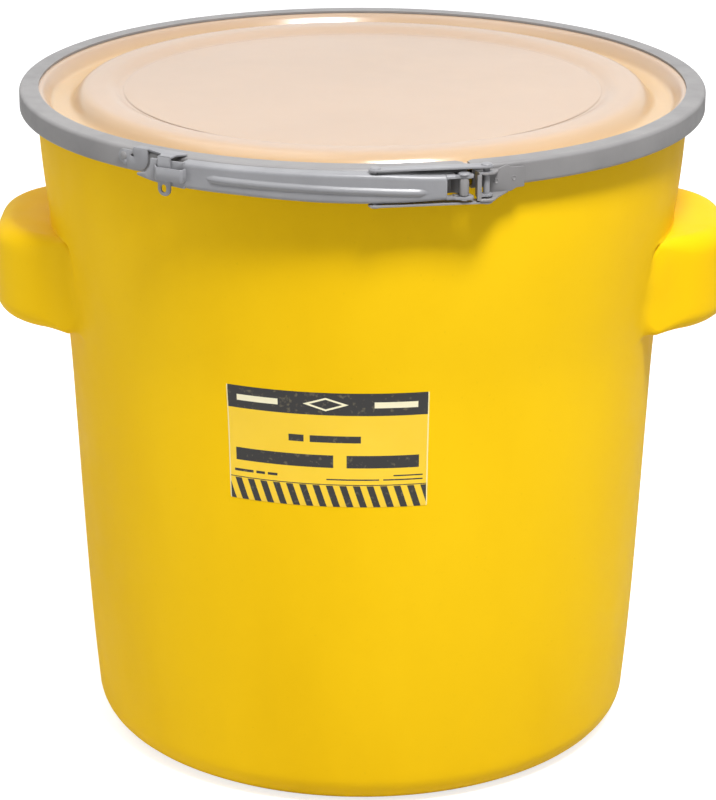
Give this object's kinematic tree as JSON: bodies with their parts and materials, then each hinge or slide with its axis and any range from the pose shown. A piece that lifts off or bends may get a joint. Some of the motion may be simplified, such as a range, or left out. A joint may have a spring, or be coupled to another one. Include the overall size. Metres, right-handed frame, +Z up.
{
  "type": "salvage drum with lever-lock ring",
  "caption": "Tapered open-head polyethylene drum with moulded side grips, a dished lid and a steel lever-lock closing ring with a swing latch.",
  "frame": {"origin": "centre of the drum's flat base, on the floor", "axes": "+Z up along the drum's axis; -Y towards the side with the label and the lever; +X towards the right-hand grip seen from that side"},
  "size_m": [0.577, 0.5459, 0.5273],
  "materials": {
    "drum_plastic": "satin moulded polyethylene, safety yellow",
    "lid_plastic": "glossy natural polyethylene, slightly translucent",
    "gasket_rubber": "matt sponge rubber",
    "ring_paint": "semi-gloss grey paint on rolled steel",
    "lever_paint": "semi-gloss grey paint on pressed steel",
    "label_vinyl": "printed vinyl sheet"
  },
  "bodies": {
    "drum": {"drum_body": "drum_plastic", "label": "label_vinyl"},
    "lid_body": {"lid": "lid_plastic", "lid_gasket": "gasket_rubber"},
    "band_back": {"ring_back": "ring_paint"},
    "band_left_1": {"ring_left_1": "ring_paint"},
    "band_left_2": {"ring_left_2": "ring_paint", "left_lug": "ring_paint", "latch_rivet": "ring_paint"},
    "band_right_1": {"ring_right_1": "ring_paint"},
    "band_right_2": {"ring_right_2": "ring_paint", "right_lug": "ring_paint"},
    "lever_body": {"lever": "lever_paint", "lever_pivot_pin": "lever_paint"},
    "link_body": {"link_top": "lever_paint", "link_bottom": "lever_paint", "link_rivets": "lever_paint", "link_pin": "lever_paint", "link_spacer": "lever_paint"},
    "latch_body": {"latch_plate": "lever_paint"}
  },
  "joints": [
    {"name": "lid_lift", "type": "slide", "parent": "drum", "child": "lid_body", "axis": [0, 0, 1], "range_m": [0, 0.2]},
    {"name": "ring_back_shift", "type": "slide", "parent": "drum", "child": "band_back", "axis": [-0.2832, 0.9591, 0], "range_m": [0, 0.0151]},
    {"name": "ring_left_1_bend", "type": "hinge", "parent": "band_back", "child": "band_left_1", "pos_m": [-0.21192, 0.16291, 0.515], "axis": [0, 0, 1], "range_deg": [-3.6, 0]},
    {"name": "ring_left_2_bend", "type": "hinge", "parent": "band_left_1", "child": "band_left_2", "pos_m": [-0.22042, -0.15121, 0.515], "axis": [0, 0, 1], "range_deg": [-3.6, 0]},
    {"name": "ring_right_1_bend", "type": "hinge", "parent": "band_back", "child": "band_right_1", "pos_m": [0.08945, 0.25189, 0.515], "axis": [0, 0, 1], "range_deg": [0, 3.6]},
    {"name": "ring_right_2_bend", "type": "hinge", "parent": "band_right_1", "child": "band_right_2", "pos_m": [0.2672, -0.00723, 0.515], "axis": [0, 0, 1], "range_deg": [0, 3.6]},
    {"name": "lever_open", "type": "hinge", "parent": "band_left_2", "child": "lever_body", "pos_m": [0.07149, -0.26679, 0.511], "axis": [0, 0, 1], "range_deg": [0, 150]},
    {"name": "link_swing", "type": "hinge", "parent": "lever_body", "child": "link_body", "pos_m": [0.00906, -0.27305, 0.512], "axis": [0, 0, 1], "range_deg": [-98, 0]},
    {"name": "latch_swing", "type": "hinge", "parent": "band_left_2", "child": "latch_body", "pos_m": [-0.17147, -0.20727, 0.517], "axis": [-0.6374, -0.7705, 0], "range_deg": [0, 60]}
  ],
  "couplings": [
    {"joint": "ring_back_shift", "follows": "lever_open", "m_per_rad": 0.0057296},
    {"joint": "ring_left_1_bend", "follows": "lever_open", "ratio": -0.023681},
    {"joint": "ring_left_2_bend", "follows": "lever_open", "ratio": -0.023681},
    {"joint": "ring_right_1_bend", "follows": "lever_open", "ratio": 0.023681},
    {"joint": "ring_right_2_bend", "follows": "lever_open", "ratio": 0.023681},
    {"joint": "link_swing", "follows": "lever_open", "ratio": -0.65273}
  ]
}
